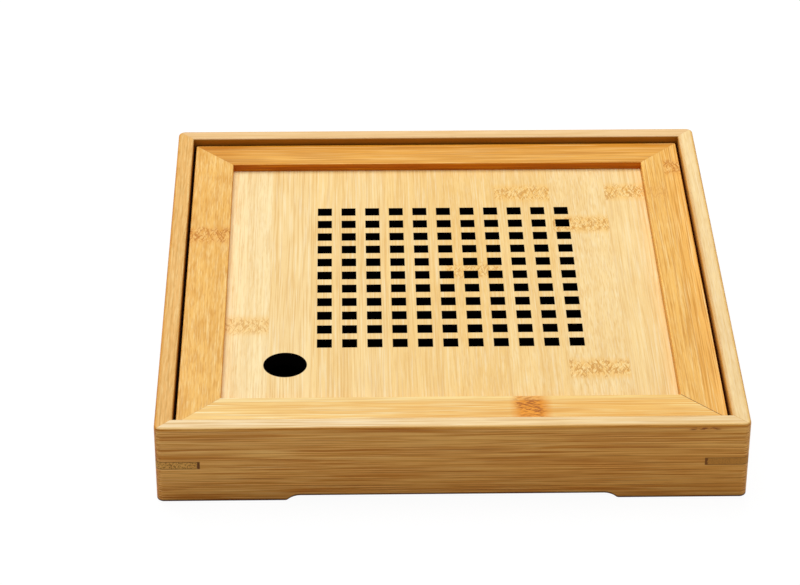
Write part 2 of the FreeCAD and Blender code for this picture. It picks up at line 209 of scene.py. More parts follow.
def zone(wood, *limits):
    """1 where each value has reached the limit at which it is full, 0 where one hasn't begun."""
    inside = 1.0
    for value, begins, full in limits:
        reached = add_node(
            wood, "MapRange", {"Value": value, "From Min": begins, "From Max": full}
        )[0]
        inside = add_node(wood, "Math", {0: inside, 1: reached}, operation="MULTIPLY")[0]
    return inside


def apart(wood, one, other):
    """How far apart two values lie."""
    gap = add_node(wood, "Math", {0: one, 1: other}, operation="SUBTRACT")[0]
    return add_node(wood, "Math", {0: gap}, operation="ABSOLUTE")[0]


def marks(wood, place, size, detail=2.0, bend=0.0):
    """Marks of a real size that lie along the fibres: 0 between them, 1 on them."""
    length, width, begins, full = size
    cells = add_node(
        wood, "VectorMath", {0: place, 1: (1 / length, 1 / width, 1 / width)},
        operation="MULTIPLY",
    )[0]
    noise = add_node(
        wood, "TexNoise", {"Vector": cells, "Scale": 1.0, "Detail": detail, "Distortion": bend}
    )[0]
    return zone(wood, (noise, begins, full))


def paint(wood, colour, over, factor, share=1.0, blend="MIX"):
    """Lay a colour over another, by a factor that varies and a share that doesn't."""
    amount = add_node(wood, "Math", {0: factor, 1: share}, operation="MULTIPLY")[0]
    return add_node(
        wood, "Mix", {MIX_FACTOR: amount, MIX_FROM: colour, MIX_TO: over},
        data_type="RGBA", blend_type=blend,
    )[MIXED]


def strip_table(wood, share, strips, facts):
    """Look up three facts of the strip that a place lies in, each between 0 and 1."""
    first, last = strips[0][0], strips[-1][1]
    table = wood.node_tree.nodes.new("ShaderNodeValToRGB")
    table.color_ramp.interpolation = "CONSTANT"
    wood.node_tree.links.new(share, table.inputs[0])
    stops = table.color_ramp.elements
    stops.remove(stops[1])
    for number, (strip, colour) in enumerate(zip(strips, facts)):
        stop = stops[0] if number == 0 else stops.new((strip[0] - first) / (last - first))
        stop.color = (*colour, 1.0)
    return add_node(wood, "SeparateColor", {0: table.outputs[0]})


def strip_seams(wood, share, strips):
    """1 on the glued seams between strips, and 0 a hair's breadth away from them."""
    first, last = strips[0][0], strips[-1][1]
    table = wood.node_tree.nodes.new("ShaderNodeValToRGB")
    wood.node_tree.links.new(share, table.inputs[0])
    stops = table.color_ramp.elements
    stops.remove(stops[1])
    stops[0].color = (0.0, 0.0, 0.0, 1.0)
    for seam in [strip[0] for strip in strips[1:]]:
        for shift, level in ((-SEAM_HALF_WIDTH, 0.0), (0.0, 1.0), (SEAM_HALF_WIDTH, 0.0)):
            stop = stops.new((seam + shift - first) / (last - first))
            stop.color = (level, level, level, 1.0)
    return table.outputs[0]


def strip_facts(wood, share, strips):
    """For the strip that a place lies in: tone, flecks, seed, knuckles and their strength."""
    looks, knots = [], []
    for number, (_, _, tone, flecked, strength, *places) in enumerate(strips):
        shares = [(place + KNUCKLE_REACH) / (2 * KNUCKLE_REACH) for place in places]
        looks.append((tone, flecked, (number + 1) * SEED_STEP % 1))
        knots.append((shares[0], shares[-1], strength))
    tone, flecked, seed = strip_table(wood, share, strips, looks)
    *places, strength = strip_table(wood, share, strips, knots)
    knuckles = [
        add_node(
            wood, "MapRange", {"Value": place, "To Min": -KNUCKLE_REACH, "To Max": KNUCKLE_REACH}
        )[0]
        for place in places
    ]
    return tone, flecked, seed, knuckles, strength


def knuckle_layers(wood, along, cane, knuckles):
    """Ragged dark and pale strokes where a cane had a knuckle, and the shade round them."""
    edge = marks(wood, cane, KNUCKLE_EDGE, detail=1.0)
    shift = add_node(
        wood, "Math", {0: edge, 1: 2 * KNUCKLE_RAGGED, 2: -KNUCKLE_RAGGED},
        operation="MULTIPLY_ADD",
    )[0]
    gaps = []
    for knuckle in knuckles:
        gap = add_node(wood, "Math", {0: along, 1: knuckle}, operation="SUBTRACT")[0]
        ragged = add_node(wood, "Math", {0: gap, 1: shift}, operation="ADD")[0]
        gaps.append([
            add_node(wood, "Math", {0: value}, operation="ABSOLUTE")[0] for value in (gap, ragged)
        ])
    plain_gap, ragged_gap = [
        add_node(wood, "Math", {0: one, 1: other}, operation="MINIMUM")[0]
        for one, other in zip(*gaps)
    ]
    within = zone(wood, (ragged_gap, *KNUCKLE_MARKS))
    shade = zone(wood, (plain_gap, *KNUCKLE_SHADE))

    # Short strokes lean to one side and the other of the fibres
    strokes = []
    for leans in (DARK_STROKE_LEANS, PALE_STROKE_LEANS):
        drawn = 0.0
        for lean in leans:
            leaned = add_node(
                wood, "VectorRotate", {"Vector": cane, "Angle": lean}, rotation_type="Z_AXIS"
            )[0]
            stroke = marks(wood, leaned, KNUCKLE_STROKE, detail=1.0, bend=KNUCKLE_BEND)
            drawn = add_node(wood, "Math", {0: stroke, 1: drawn}, operation="MAXIMUM")[0]
        strokes.append(add_node(wood, "Math", {0: drawn, 1: within}, operation="MULTIPLY")[0])
    dark, pale = strokes
    return dark, pale, shade


def bamboo(name, grain, strips, strip_axis, look, seed, marks_and_painted_shade=()):
    """Planed bamboo: glued strips with bands, long fibres, flecks, gleams and knuckles."""
    wood = new_material(name)
    xyz = add_node(wood, "SeparateXYZ", {0: place_in_mm(wood)})
    along, across = (xyz[0], xyz[1]) if grain == "X" else (xyz[1], xyz[0])
    share = add_node(
        wood, "MapRange",
        {
            "Value": xyz["XYZ".index(strip_axis)], "From Min": strips[0][0],
            "From Max": strips[-1][1],
        },
    )[0]
    tone, flecked, strip_seed, knuckles, strength = strip_facts(wood, share, strips)

    # Every strip comes from another cane, so its figure starts somewhere else
    jump = add_node(
        wood, "Math", {0: strip_seed, 1: SEED_REACH, 2: seed}, operation="MULTIPLY_ADD"
    )[0]
    along_cane = add_node(wood, "Math", {0: along, 1: jump}, operation="ADD")[0]
    across_cane = add_node(wood, "Math", {0: across, 1: jump}, operation="ADD")[0]
    straight = add_node(wood, "CombineXYZ", {0: along_cane, 1: across_cane, 2: xyz[2]})[0]

    # The fibres wander a little to one side and the other along the cane
    wander = marks(wood, straight, WANDER, detail=0.0)
    drift = add_node(
        wood, "Math", {0: wander, 1: 2 * look["wander"], 2: -look["wander"]},
        operation="MULTIPLY_ADD",
    )[0]
    bent_across = add_node(wood, "Math", {0: across_cane, 1: drift}, operation="ADD")[0]
    bent_upright = add_node(wood, "Math", {0: xyz[2], 1: drift}, operation="ADD")[0]
    bent = add_node(wood, "CombineXYZ", {0: along_cane, 1: bent_across, 2: bent_upright})[0]

    band = marks(wood, bent, BAND, detail=1.0)
    fibre = marks(wood, bent, FIBRE)
    fleck = marks(wood, bent, FLECK, detail=1.0)
    gleam = add_node(
        wood, "Mix",
        {"Factor": flecked, "A": marks(wood, bent, GLEAM), "B": marks(wood, bent, GLINT)},
    )[0]
    cloud = marks(wood, straight, CLOUD, detail=1.0)
    blotch = marks(wood, straight, BLOTCH)

    # Long fibres fade out in the strips where flecks take their place
    unflecked = add_node(wood, "Math", {0: 1.0, 1: flecked}, operation="SUBTRACT")[0]
    fibre = add_node(wood, "Math", {0: fibre, 1: unflecked}, operation="MULTIPLY")[0]
    fleck = add_node(wood, "Math", {0: fleck, 1: flecked}, operation="MULTIPLY")[0]
    lines = add_node(wood, "Math", {0: fibre, 1: fleck}, operation="ADD")[0]
    dark_strokes, pale_strokes, shade = [
        add_node(wood, "Math", {0: layer, 1: strength}, operation="MULTIPLY")[0]
        for layer in knuckle_layers(wood, along, straight, knuckles)
    ]

    hues = {key: linear(value) for key, value in look.items() if str(value).startswith("#")}
    colour = paint(wood, hues["pale"], hues["deep"], tone)
    colour = paint(wood, colour, hues["deep"], cloud, look["band share"])
    colour = paint(wood, colour, hues["fibre"], band, look["band share"])
    colour = paint(wood, colour, hues["fibre"], blotch, look["blotch share"])
    colour = paint(wood, colour, hues["gleam"], gleam, look["gleam share"])
    colour = paint(wood, colour, hues["fibre"], lines, look["fibre share"])
    colour = paint(wood, colour, hues["shade"], shade, look["shade share"])
    colour = paint(wood, colour, hues["stroke"], pale_strokes, look["stroke share"])
    colour = paint(wood, colour, hues["knuckle"], dark_strokes, look["knuckle share"])
    if len(strips) > 1:
        seams = strip_seams(wood, share, strips)
        colour = paint(wood, colour, hues["seam"], seams, look["seam share"])

    # What the marks and the painted shade go by: how far out a place lies, and how it lies in the
    # cane
    reach = [add_node(wood, "Math", {0: axis}, operation="ABSOLUTE")[0] for axis in xyz[:2]]
    outermost = add_node(wood, "Math", {0: reach[0], 1: reach[1]}, operation="MAXIMUM")[0]
    facts = {
        "xyz": xyz, "reach": reach, "outermost": outermost, "along": along, "bent": bent,
        "hues": hues,
    }
    for add_mark in marks_and_painted_shade:
        colour = add_mark(wood, facts, colour)

    relief = add_node(wood, "Math", {0: lines, 1: dark_strokes}, operation="ADD")[0]
    bump = add_node(
        wood, "Bump",
        {"Height": relief, "Strength": FIBRE_RELIEF_STRENGTH, "Distance": FIBRE_RELIEF},
        invert=True,
    )[0]
    surface = add_node(
        wood, "BsdfPrincipled",
        {
            "Base Color": colour, "Roughness": LACQUER_ROUGHNESS, "IOR": BAMBOO_IOR,
            "Specular IOR Level": BAMBOO_SPECULAR, "Normal": bump,
            "Coat Weight": LACQUER_COAT, "Coat Roughness": LACQUER_COAT_ROUGHNESS,
        },
    )[0]
    add_node(wood, "OutputMaterial", {0: surface})
    return wood


def upright_share(wood):
    """1 on upright faces and 0 on level ones."""
    normal = add_node(wood, "TexCoord", {})["Normal"]
    level = add_node(wood, "SeparateXYZ", {0: normal})[2]
    level = add_node(wood, "Math", {0: level}, operation="ABSOLUTE")[0]
    return zone(wood, (level, *LEVEL_SHARE))


def outer_faces_shade_and_streaks(wood, facts, colour):
    """The outer faces get a browner honey tint, partly painted shade, and dense dark streaks."""
    upright = upright_share(wood)
    outer = zone(wood, (facts["outermost"], *OUTER_HALF))
    upright = add_node(wood, "Math", {0: upright, 1: outer}, operation="MULTIPLY")[0]
    colour = paint(wood, colour, linear(OUTER_FACE_SHADE_TINT), upright, blend="MULTIPLY")
    deep_streaks = add_node(
        wood, "VectorMath", {0: facts["bent"], 1: STREAK_SQUEEZE}, operation="MULTIPLY"
    )[0]
    for size, tint, share in (
        (STREAK, OUTER_STREAK_TINT, OUTER_STREAK_SHARE),
        (VEIN, OUTER_VEIN_TINT, OUTER_VEIN_SHARE),
    ):
        pattern = marks(wood, deep_streaks, size, detail=1.0)
        drawn = add_node(wood, "Math", {0: upright, 1: pattern}, operation="MULTIPLY")[0]
        colour = paint(wood, colour, linear(tint), drawn, share, blend="MULTIPLY")
    return colour


def golden_arris(wood, facts, colour):
    """Tint the upper arris of a wall more golden, which warms the highlight that it catches."""
    edge = zone(wood, (facts["outermost"], *ARRIS_REACH), (facts["xyz"][2], *ARRIS_HEIGHT))
    return paint(wood, colour, linear(ARRIS_TINT), edge, blend="MULTIPLY")


def low_edge_painted_shade(wood, facts, colour):
    """Painted shade along the lowest edge of the outer faces, by the arch and the feet."""
    reach = facts["reach"]
    from_middle = add_node(wood, "Math", {0: reach[0], 1: reach[1]}, operation="MINIMUM")[0]
    cove = zone(wood, (from_middle, *FOOT_COVE))
    cove = add_node(wood, "Math", {0: cove, 1: cove}, operation="MULTIPLY")[0]
    lowest = add_node(
        wood, "Math", {0: cove, 1: -ARCH_HEIGHT, 2: ARCH_HEIGHT}, operation="MULTIPLY_ADD"
    )[0]
    height = add_node(wood, "Math", {0: facts["xyz"][2], 1: lowest}, operation="SUBTRACT")[0]
    low = zone(wood, (height, *LOW_EDGE), (facts["outermost"], *LOW_EDGE_REACH))
    return paint(wood, colour, linear(LOW_EDGE_SHADE_TINT), low, blend="MULTIPLY")


def mitre_glue(wood, facts, colour):
    """A thin glue line where bars meet at forty-five degrees; one corner has opened a hair."""
    xyz = facts["xyz"]
    line = zone(wood, (apart(wood, *facts["reach"]), *GLUE_HALF_WIDTH))
    front_right = add_node(wood, "Math", {0: xyz[0], 1: xyz[1]}, operation="SUBTRACT")[0]
    opened = add_node(
        wood, "MapRange",
        {
            "Value": front_right, "From Min": GLUE_FROM[0], "From Max": GLUE_FROM[1],
            "To Min": GLUE_SHARES[0], "To Max": GLUE_SHARES[1],
        },
    )[0]
    line = add_node(wood, "Math", {0: line, 1: opened}, operation="MULTIPLY")[0]
    return paint(wood, colour, facts["hues"]["glue"], line, blend="MULTIPLY")


# The gap round the lid: where the lid ends, how wide the gap is, how far beside it the painted
# shade reaches, the reach and tint of the painted shade on the right wall's rim, and how far below
# the lid's top the lighter and the darker painted shade in the gap begin and are full
LID_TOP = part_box("lid_rail_front")[1].z / MM
LID_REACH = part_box("lid_rail_right")[1].x / MM
GAP_WIDTH = 1.0
BESIDE_GAP = (0.8, 0.6)
RIM_SHADE_REACH = (1.3, 0.8)
RIM_SHADE_TINT = "#f0dfcc"
GAP_UPPER_SHADE_DEPTH = (-2.4, -2.1)
GAP_DEEP_SHADE_DEPTH = (-0.4, 2.4)


def gap_painted_shade(wood, facts, colour):
    """Painted shade in the gap round the lid: a tan below the rim, and dark brown further down."""
    from_gap = apart(wood, facts["outermost"], LID_REACH + GAP_WIDTH / 2)
    depth = add_node(wood, "Math", {0: LID_TOP, 1: facts["xyz"][2]}, operation="SUBTRACT")[0]
    for limits, tint, blend in (
        (GAP_UPPER_SHADE_DEPTH, facts["hues"]["gap_upper_shade"], "MULTIPLY"),
        (GAP_DEEP_SHADE_DEPTH, facts["hues"]["gap_deep_shade"], "MIX"),
    ):
        deep = zone(wood, (from_gap, *BESIDE_GAP), (depth, *limits))
        colour = paint(wood, colour, tint, deep, blend=blend)
    return colour


def deepening(begins, full, tint):
    """Make the mark of a bar whose colour deepens from one place along it to another."""
    def deepen(wood, facts, colour):
        share = zone(wood, (facts["along"], begins, full))
        return paint(wood, colour, linear(tint), share, blend="MULTIPLY")
    return deepen


def right_rim_painted_shade(wood, facts, colour):
    """Painted shade on the right wall's rim, a tan band beside the gap over its rounded inner edge.
    """
    from_gap = add_node(
        wood, "Math", {0: facts["outermost"], 1: LID_REACH + GAP_WIDTH}, operation="SUBTRACT"
    )[0]
    near = zone(wood, (from_gap, *RIM_SHADE_REACH))
    return paint(wood, colour, linear(RIM_SHADE_TINT), near, blend="MULTIPLY")


def dress(node, material):
    """Give a CAD piece its finish."""
    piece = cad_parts[node]
    piece.data.materials.clear()
    piece.data.materials.append(material)


for number, side in enumerate(SIDES):
    marks_and_painted_shade = [outer_faces_shade_and_streaks, golden_arris, low_edge_painted_shade, mitre_glue, gap_painted_shade]
    if side == "front":
        marks_and_painted_shade.append(deepening(*FRONT_WALL_DEEPENS))
    if side == "right":
        marks_and_painted_shade.append(right_rim_painted_shade)
    material = bamboo(
        f"lacquered_bamboo_{side}_wall", "X" if side in ("front", "back") else "Y",
        WALL_STRIPS[side], "Z", WALL_WOODS[side], WALL_SEED_STEP * number, marks_and_painted_shade,
    )
    dress(f"frame_{side}", material)

# The corner splines of the box
# Thin slips of darker bamboo, glued into a saw cut across each mitre and sanded flush.  Their
# fibres run across the corner, so both faces show dull, slanting end grain in a glue line.
SPLINE_WOOD = {"pale": "#e8ae58", "deep": "#cd8d3c", "pore": "#8f5c1e", "glue": "#521e04"}

# Which slips are pale, at 0, and which are deep, at 1
SPLINE_TONES = {"front_right": 1.0, "back_right": 0.8, "back_left": 1.0, "front_left": 0.0}

# Pores are the cut ends of the fibre bundles, and drawn a little larger than they are
END_GRAIN_PORE = (0.9, 0.42, 0.50, 0.60)
SPLINE_CLOUD = (14.0, 5.0, 0.35, 0.65)

# How far glue shows from the faces of a slip and from the ends of its cut, and how ragged it
# is there
SPLINE_GLUE_LINE = (0.36, 0.06)
SPLINE_END_GLUE = (1.65, 1.35)
SPLINE_END_RAGGED = 1.1
SPLINE_END_NOISE = (0.9, 0.9, 0.0, 1.0)

# How strongly pores and glue show in a pale slip and in a deep one
PORE_SHARES = (0.80, 0.25)
SPLINE_GLUE_SHARES = (0.85, 0.70)
CLOUD_SHARE = 0.3
SPLINE_SEED_STEP = 23.0
BARE_END_GRAIN_ROUGHNESS = 0.58

# How much of a step along a diagonal each axis takes
DIAGONAL_SHARE = math.sqrt(0.5)


def end_grain_spline(node, tone, seed):
    """End grain of a slip that lies across a corner, with its glue line all round."""
    lowest, highest = [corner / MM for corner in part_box(node)]
    middle = (lowest + highest) / 2
    across = math.copysign(1, middle.x)
    along = math.copysign(1, middle.y)
    slip = new_material(f"end_grain_bamboo_{node}")
    place = place_in_mm(slip)
    xyz = add_node(slip, "SeparateXYZ", {0: place})
    with_fibres = add_node(
        slip, "VectorMath",
        {0: place, 1: (DIAGONAL_SHARE * across, -DIAGONAL_SHARE * along, 0.0)},
        operation="DOT_PRODUCT",
    )["Value"]
    to_corner = add_node(
        slip, "VectorMath",
        {0: place, 1: (DIAGONAL_SHARE * across, DIAGONAL_SHARE * along, 0.0)},
        operation="DOT_PRODUCT",
    )["Value"]
    start = add_node(slip, "Math", {0: with_fibres, 1: seed}, operation="ADD")[0]
    cane = add_node(slip, "CombineXYZ", {0: start, 1: to_corner, 2: xyz[2]})[0]
    cloud = marks(slip, cane, SPLINE_CLOUD)
    pores = marks(slip, cane, END_GRAIN_PORE, detail=1.0)

    # Glue shows as a dark line above and below, and fills the inner ends of the saw cut
    height = apart(slip, xyz[2], middle.z)
    to_face = add_node(
        slip, "Math", {0: highest.z - middle.z, 1: height}, operation="SUBTRACT"
    )[0]
    glue = zone(slip, (to_face, *SPLINE_GLUE_LINE))
    ragged = marks(slip, cane, SPLINE_END_NOISE)
    inner_ends = (
        lowest.x if across > 0 else highest.x, lowest.y if along > 0 else highest.y,
    )
    for axis, end in zip(xyz[:2], inner_ends):
        to_end = add_node(
            slip, "Math", {0: ragged, 1: SPLINE_END_RAGGED, 2: apart(slip, axis, end)},
            operation="MULTIPLY_ADD",
        )[0]
        end_glue = zone(slip, (to_end, *SPLINE_END_GLUE))
        glue = add_node(slip, "Math", {0: glue, 1: end_glue}, operation="MAXIMUM")[0]

    pore_share, glue_share = [
        pale + tone * (deep - pale) for pale, deep in (PORE_SHARES, SPLINE_GLUE_SHARES)
    ]
    colour = paint(slip, linear(SPLINE_WOOD["pale"]), linear(SPLINE_WOOD["deep"]), 1.0, tone)
    colour = paint(slip, colour, linear(SPLINE_WOOD["deep"]), cloud, CLOUD_SHARE)
    colour = paint(slip, colour, linear(SPLINE_WOOD["pore"]), pores, pore_share)
    colour = paint(slip, colour, linear(SPLINE_WOOD["glue"]), glue, glue_share)
    bump = add_node(
        slip, "Bump",
        {"Height": pores, "Strength": FIBRE_RELIEF_STRENGTH, "Distance": FIBRE_RELIEF},
        invert=True,
    )[0]
    surface = add_node(
        slip, "BsdfPrincipled",
        {
            "Base Color": colour, "Roughness": BARE_END_GRAIN_ROUGHNESS, "IOR": BAMBOO_IOR,
            "Specular IOR Level": BAMBOO_SPECULAR, "Normal": bump,
        },
    )[0]
    add_node(slip, "OutputMaterial", {0: surface})
    return slip


CORNERS = ("front_right", "back_right", "back_left", "front_left")
for number, corner in enumerate(CORNERS):
    node = f"spline_{corner}"
    material = end_grain_spline(node, SPLINE_TONES[corner], SPLINE_SEED_STEP * number)
    dress(node, material)

# The base board
# A thin board of bamboo strips, sanded smooth, which slides into grooves in the four walls
# before the last corner is glued.  Its cane is of a plainer grade, and browner than the walls'.
BOARD_STRIPS = [
    (-95.0, -76.0, 0.5, 0.3, 1.0, 10.0), (-76.0, -57.0, 0.3, 0.6, 0.0, NO_KNUCKLE),
    (-57.0, -38.0, 0.6, 0.2, 0.8, -60.0), (-38.0, -19.0, 0.4, 0.4, 0.0, NO_KNUCKLE),
    (-19.0, 0.0, 0.7, 0.3, 1.0, 45.0), (0.0, 19.0, 0.35, 0.2, 0.0, NO_KNUCKLE),
    (19.0, 38.0, 0.55, 0.5, 0.7, -20.0), (38.0, 57.0, 0.3, 0.3, 1.0, 70.0),
    (57.0, 76.0, 0.6, 0.4, 0.0, NO_KNUCKLE), (76.0, 95.0, 0.4, 0.2, 0.9, -5.0),
]
BOARD_WOOD = dict(WALL_WOOD, pale="#edca8a", deep="#ddb068", fibre="#b98a48", gleam="#f4dca8")
BOARD_SEED = 53.0
board_wood = bamboo("sanded_bamboo_base_board", "X", BOARD_STRIPS, "Y", BOARD_WOOD, BOARD_SEED)
dress("base_board", board_wood)

# The drip tray
# A loose tub moulded in black polypropylene.  The mould was spark-eroded, which gives the
# plastic a fine matt grain, with a dull sheen where light grazes it.
PLASTIC_COLOURS = {"body": "#0b0b0c", "worn": "#17171a"}
PLASTIC_IOR = 1.49
PLASTIC_ROUGHNESS = (0.46, 0.62)

# The real grain measures less than 0.1 mm, so it is drawn several times coarser to show at all
MOULD_GRAIN = (0.45, 0.45, 0.35, 0.65)
MOULD_CLOUD = (30.0, 30.0, 0.35, 0.65)
MOULD_RELIEF = 0.02 * MM
MOULD_RELIEF_STRENGTH = 0.5
plastic = new_material("moulded_black_polypropylene")
plastic_place = place_in_mm(plastic)
mould_grain = marks(plastic, plastic_place, MOULD_GRAIN)
mould_cloud = marks(plastic, plastic_place, MOULD_CLOUD)
plastic_colour = paint(
    plastic, linear(PLASTIC_COLOURS["body"]), linear(PLASTIC_COLOURS["worn"]), mould_cloud
)
plastic_roughness = add_node(
    plastic, "MapRange",
    {"Value": mould_grain, "To Min": PLASTIC_ROUGHNESS[0], "To Max": PLASTIC_ROUGHNESS[1]},
)[0]
plastic_bump = add_node(
    plastic, "Bump",
    {"Height": mould_grain, "Strength": MOULD_RELIEF_STRENGTH, "Distance": MOULD_RELIEF},
)[0]
plastic_surface = add_node(
    plastic, "BsdfPrincipled",
    {
        "Base Color": plastic_colour, "Roughness": plastic_roughness, "IOR": PLASTIC_IOR,
        "Normal": plastic_bump,
    },
)[0]
add_node(plastic, "OutputMaterial", {0: plastic_surface})
dress("drip_tray", plastic)

# The lid's rails
# Four bars of steamed bamboo, grooved for the panel's tongue, mitred round it, and keyed at
# each corner with a slip like those of the box.  Steaming caramelises the sugars, so the rails
# are more orange than the walls.
# The side hue paints shade on a rail's inner side, deepest on the back rail, away from the lamp
RAIL_WOOD = dict(
    WALL_WOOD, pale="#f9ca72", deep="#f2b454", fibre="#cb8520", gleam="#ffdf9c",
    shade="#e8a03c", knuckle="#c0741c", stroke="#f8c878", seam="#d08c34", glue="#7c4c18",
    side="#f0c450", wander=0.5,
)
RAIL_WOODS = {
    "front": dict(
        RAIL_WOOD, pale="#ffe6a3", deep="#f8c66e", gleam="#fff2c0", fibre="#dc9a36",
        knuckle="#a85c00", shade="#ea9818", stroke="#fcb040", side="#f4cc78",
        **{"shade share": 0.95, "knuckle share": 0.85}
    ),
    "right": dict(
        RAIL_WOOD, pale="#fecd70", deep="#f8b754", side="#fff2d4", **{"fibre share": 0.7}
    ),
    "back": dict(
        RAIL_WOOD, pale="#fac060", deep="#de9428", gleam="#fccc7c", fibre="#b87010",
        side="#f0bc30",
    ),
    "left": dict(
        RAIL_WOOD, pale="#facd76", deep="#f3b758", side="#fce0a0", **{"blotch share": 0.30}
    ),
}
RAIL_STRIPS = {
    "front": [(-93.5, -81.2, 0.60, 0.0, 1.0, 27.0), (-81.2, -78.0, 0.05, 0.0, 0.6, 27.0)],
    "right": [(78.0, 86.6, 0.3, 0.3, 0.35, 56.5), (86.6, 93.5, 0.6, 0.1, 1.0, 74.0)],
    "back": [
        (78.0, 80.6, 0.6, 0.0, 0.0, NO_KNUCKLE), (80.6, 85.4, 0.3, 0.0, 0.0, NO_KNUCKLE),
        (85.4, 89.6, 0.6, 0.0, 0.0, NO_KNUCKLE), (89.6, 93.5, 1.0, 0.0, 0.0, NO_KNUCKLE),
    ],
    "left": [(-93.5, -78.0, 0.5, 0.6, 1.0, 27.0)],
}

# Where along a rail its colour deepens, and its tint there
RAIL_DEEPENS = {"front": (-60.0, 60.0, "#fdefd1"), "back": (-60.0, -82.0, "#f0e6d4")}

# Where the panel ends and the rails begin, how far from there a side of a rail counts as its inner
# one, and the tint of its outer one; the tints of both sides are painted shade
PANEL_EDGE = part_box("lid_rail_right")[0].x / MM
INNER_SIDE_REACH = (2.0, 1.0)
OUTER_SIDE_SHADE_TINT = "#f6dca8"

# Where in the figure of the cane each rail and each slip was cut
RAIL_SEED = 101.0
RAIL_SEED_STEP = 29.0
LID_SPLINE_SEED = 190.0


def rail_sides_painted_shade(wood, facts, colour):
    """Painted shade on the upright sides of a rail, deepest on the inner one towards the panel."""
    upright = upright_share(wood)
    from_panel = add_node(
        wood, "Math", {0: facts["outermost"], 1: PANEL_EDGE}, operation="SUBTRACT"
    )[0]
    inner = zone(wood, (from_panel, *INNER_SIDE_REACH))
    tint = paint(wood, linear(OUTER_SIDE_SHADE_TINT), facts["hues"]["side"], inner)
    return paint(wood, colour, tint, upright, blend="MULTIPLY")


for number, side in enumerate(SIDES):
    grain, strip_axis = ("X", "Y") if side in ("front", "back") else ("Y", "X")
    deepened_along = [deepening(*RAIL_DEEPENS[side])] if side in RAIL_DEEPENS else []
    material = bamboo(
        f"steamed_bamboo_{side}_rail", grain, RAIL_STRIPS[side], strip_axis, RAIL_WOODS[side],
        RAIL_SEED + RAIL_SEED_STEP * number, [*deepened_along, rail_sides_painted_shade, mitre_glue],
    )
    dress(f"lid_rail_{side}", material)
for number, corner in enumerate(CORNERS):
    node = f"lid_spline_{corner}"
    seed = LID_SPLINE_SEED + SPLINE_SEED_STEP * number
    material = end_grain_spline(node, SPLINE_TONES[corner], seed)
    dress(node, material)

# The lid's panel
# Wide strips of pale natural bamboo, glued edge to edge and thinned to a tongue all round.
# A laser cut the holes, and left their walls black with char.
PANEL_WOOD = dict(
    WALL_WOOD, pale="#ffe7b0", deep="#f8ce7e", fibre="#d8a048", gleam="#fff2cc",
    shade="#f8bc50", knuckle="#c4801c", stroke="#fee2a0", seam="#e0aa58",
    **{"gleam share": 0.42, "fibre share": 0.42, "shade share": 0.50, "knuckle share": 0.65},
)
PANEL_STRIPS = [
    (-84.0, -63.4, 0.05, 0.4, 0.75, -29.5), (-63.4, -48.0, 0.35, 0.0, 0.0, NO_KNUCKLE),
    (-48.0, -34.0, 0.60, 0.1, 0.0, NO_KNUCKLE), (-34.0, -21.0, 0.50, 0.1, 0.0, NO_KNUCKLE),
    (-21.0, 1.0, 0.75, 0.2, 0.0, NO_KNUCKLE), (1.0, 21.0, 0.85, 0.4, 0.8, 6.0),
    (21.0, 41.6, 0.70, 0.4, 0.9, 60.5), (41.6, 62.9, 0.45, 0.7, 1.0, 38.0, -58.0),
    (62.9, 84.0, 0.50, 0.2, 1.0, 61.0),
]
CHAR_COLOUR = "#0d0705"

# The middle of the grille, the distance from hole to hole, half a hole, half the grille, and
# the middle and the radius of the finger hole
GRILLE_MIDDLE = (1.2, 3.2)
HOLE_PITCH = 8.88
HALF_HOLE = 2.55
HALF_GRILLE = 47.0
FINGER_HOLE_MIDDLE = (-56.8, -54.4)
FINGER_HOLE_RADIUS = 7.5

# How far char reaches past an edge, and how far the line of painted shade in the corner along the
# right rail reaches, and its tint
CHAR_RIM = (0.15, 0.05)
CORNER_SHADE_LINE = (0.35, 0.05)
CORNER_SHADE_TINT = "#c8a65a"
PANEL_SEED = 7.0


def charred_holes(wood, facts, colour):
    """The laser left the walls of all the holes black, and char reaches a hair past their edges."""
    reach = [apart(wood, *pair) for pair in zip(facts["xyz"][:2], GRILLE_MIDDLE)]

    # Folded at half the pitch, a distance from the grille's middle is one from the nearest hole
    nearest = [
        add_node(wood, "Math", {0: value, 1: HOLE_PITCH / 2}, operation="PINGPONG")[0]
        for value in reach
    ]
    reach, nearest = [
        add_node(wood, "Math", {0: pair[0], 1: pair[1]}, operation="MAXIMUM")[0]
        for pair in (reach, nearest)
    ]
    squares = add_node(wood, "Math", {0: nearest, 1: HALF_HOLE}, operation="SUBTRACT")[0]
    outside = add_node(wood, "Math", {0: reach, 1: HALF_GRILLE}, operation="SUBTRACT")[0]
    squares = add_node(wood, "Math", {0: squares, 1: outside}, operation="MAXIMUM")[0]
    level = add_node(wood, "CombineXYZ", {0: facts["xyz"][0], 1: facts["xyz"][1]})[0]
    finger = add_node(
        wood, "VectorMath", {0: level, 1: (*FINGER_HOLE_MIDDLE, 0.0)}, operation="DISTANCE"
    )["Value"]
    finger = add_node(wood, "Math", {0: finger, 1: FINGER_HOLE_RADIUS}, operation="SUBTRACT")[0]
    to_edge = add_node(wood, "Math", {0: squares, 1: finger}, operation="MINIMUM")[0]
    for charred in (upright_share(wood), zone(wood, (to_edge, *CHAR_RIM))):
        colour = paint(wood, colour, linear(CHAR_COLOUR), charred)
    return colour


def corner_painted_shade_line(wood, facts, colour):
    """Painted shade: a thin darker line in the corner between the panel and the right rail."""
    to_edge = add_node(
        wood, "Math", {0: PANEL_EDGE, 1: facts["xyz"][0]}, operation="SUBTRACT"
    )[0]
    line = zone(wood, (to_edge, *CORNER_SHADE_LINE))
    return paint(wood, colour, linear(CORNER_SHADE_TINT), line, blend="MULTIPLY")


panel_wood = bamboo(
    "natural_bamboo_panel", "Y", PANEL_STRIPS, "X", PANEL_WOOD, PANEL_SEED,
    [corner_painted_shade_line, charred_holes],
)
dress("lid_panel", panel_wood)

# The floor and the light
# A wide sheet of white paper that the camera sees as white, with the tray's own soft shadow.
# One large soft lamp stands behind on the left, and the room gives the rest.
WHITE = "#ffffff"
HALF_FLOOR = 3.0

